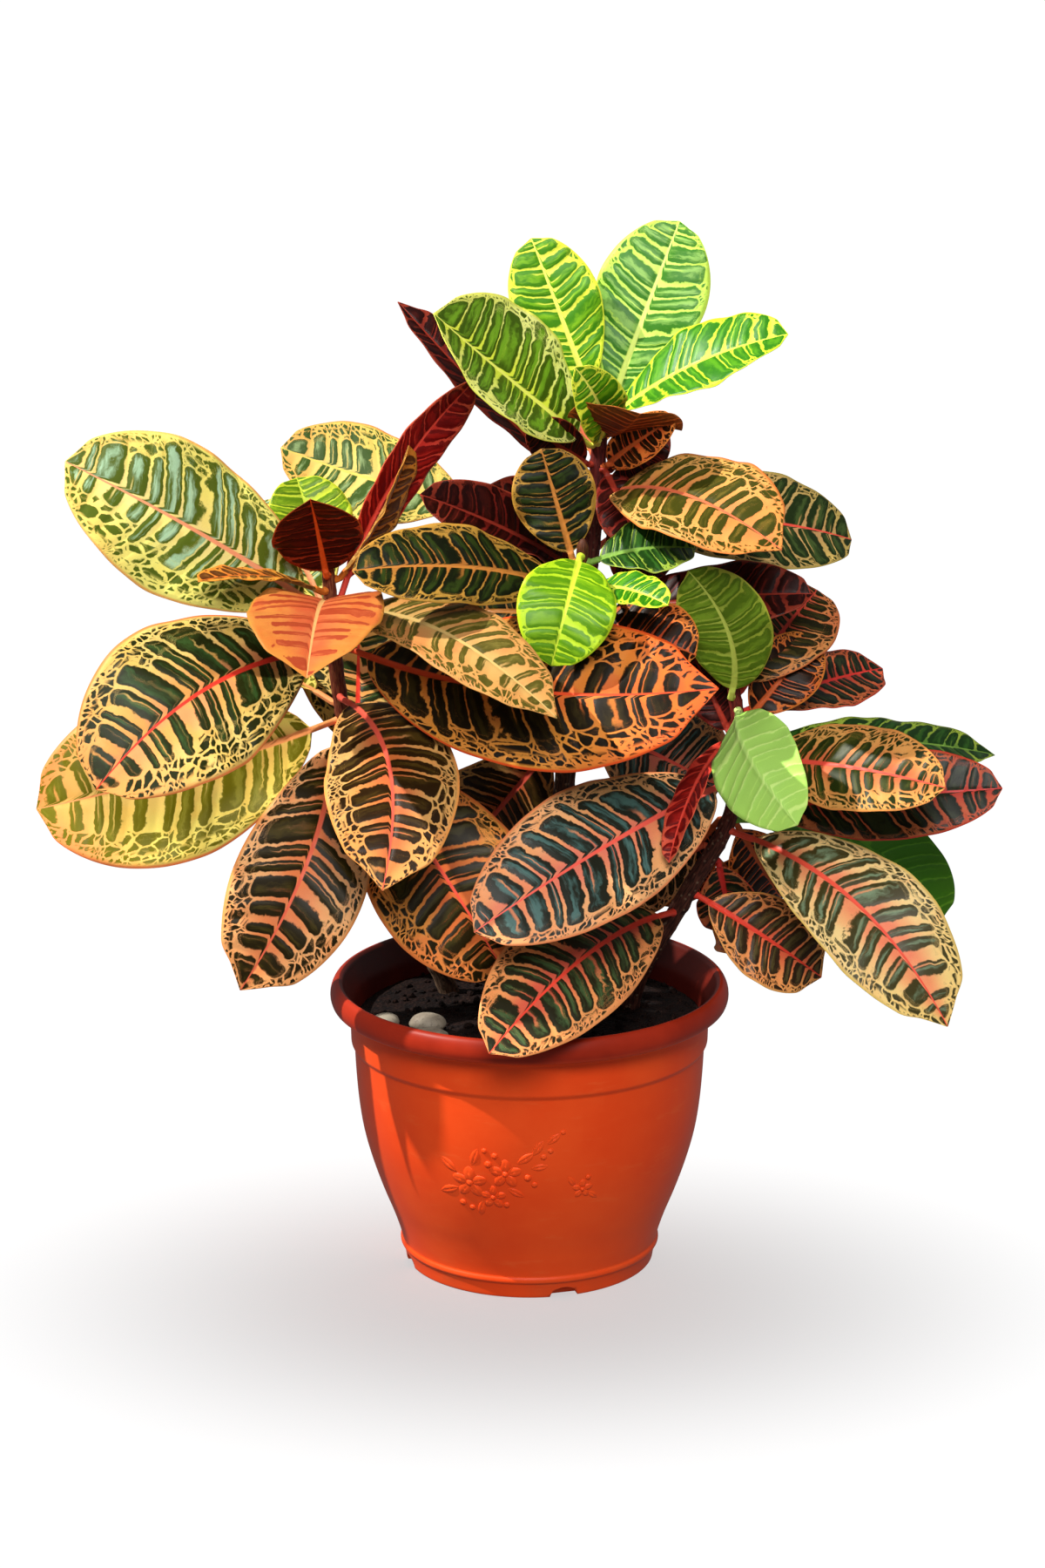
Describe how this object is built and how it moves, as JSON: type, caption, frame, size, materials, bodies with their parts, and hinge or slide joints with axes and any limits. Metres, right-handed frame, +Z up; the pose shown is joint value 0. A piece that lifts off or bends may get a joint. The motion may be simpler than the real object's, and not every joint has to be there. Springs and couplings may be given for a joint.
{
  "type": "potted croton plant",
  "caption": "Potted croton with broad, waved and veined leaves on upright woody stems, in a bellied round pot with a rolled rim, filled with soil and topped with pebbles.",
  "frame": {"origin": "middle of the pot's flat underside, at the level it stands on", "axes": "+Z up along the pot's axis; -Y towards the side seen in the picture; +X to the right as seen there"},
  "size_m": [0.5947, 0.3811, 0.651],
  "materials": {
    "pot_plastic": "satin moulded plastic, terracotta orange",
    "soil": "loose, dark potting soil",
    "pebble": "smooth, pale",
    "bark": "young grey-brown bark with leaf scars",
    "leaf_young": "glossy leaf, lime green with yellow veins",
    "leaf_mature": "glossy leaf, dark green with yellow, orange and red veins",
    "leaf_orange": "glossy leaf, orange and yellow with dark green patches between the veins",
    "leaf_red": "glossy leaf, dark red with brighter veins",
    "leaf_olive": "satin leaf, plain green with pale veins"
  },
  "bodies": {
    "root": {"pot": "pot_plastic", "soil": "soil", "pebble_1": "pebble", "pebble_2": "pebble", "pebble_3": "pebble", "main_stem": "bark", "left_stem": "bark", "middle_stem": "bark", "right_stem": "bark", "main_leaf_01": "leaf_young", "main_leaf_02": "leaf_young", "main_leaf_03": "leaf_young", "main_leaf_04": "leaf_young", "main_leaf_05": "leaf_red", "main_leaf_06": "leaf_red", "main_leaf_07": "leaf_orange", "main_leaf_08": "leaf_red", "main_leaf_09": "leaf_mature", "main_leaf_10": "leaf_red", "main_leaf_11": "leaf_mature", "main_leaf_12": "leaf_orange", "main_leaf_13": "leaf_mature", "main_leaf_14": "leaf_mature", "main_leaf_15": "leaf_orange", "main_leaf_16": "leaf_young", "left_leaf_01": "leaf_red", "left_leaf_02": "leaf_olive", "left_leaf_03": "leaf_orange", "left_leaf_04": "leaf_red", "left_leaf_05": "leaf_orange", "left_leaf_06": "leaf_mature", "left_leaf_07": "leaf_mature", "left_leaf_08": "leaf_orange", "left_leaf_09": "leaf_mature", "left_leaf_10": "leaf_orange", "left_leaf_11": "leaf_orange", "left_leaf_12": "leaf_orange", "left_leaf_13": "leaf_mature", "left_leaf_14": "leaf_mature", "left_leaf_15": "leaf_orange", "left_leaf_16": "leaf_mature", "middle_leaf_01": "leaf_mature", "middle_leaf_02": "leaf_mature", "middle_leaf_03": "leaf_young", "middle_leaf_04": "leaf_mature", "middle_leaf_05": "leaf_orange", "right_leaf_01": "leaf_olive", "right_leaf_02": "leaf_olive", "right_leaf_03": "leaf_orange", "right_leaf_04": "leaf_mature", "right_leaf_05": "leaf_mature", "right_leaf_06": "leaf_orange", "right_leaf_07": "leaf_red", "right_leaf_08": "leaf_olive", "right_leaf_09": "leaf_mature", "right_leaf_10": "leaf_mature", "right_leaf_11": "leaf_mature", "right_leaf_12": "leaf_mature", "right_leaf_13": "leaf_mature", "right_leaf_14": "leaf_mature"}
  },
  "joints": []
}
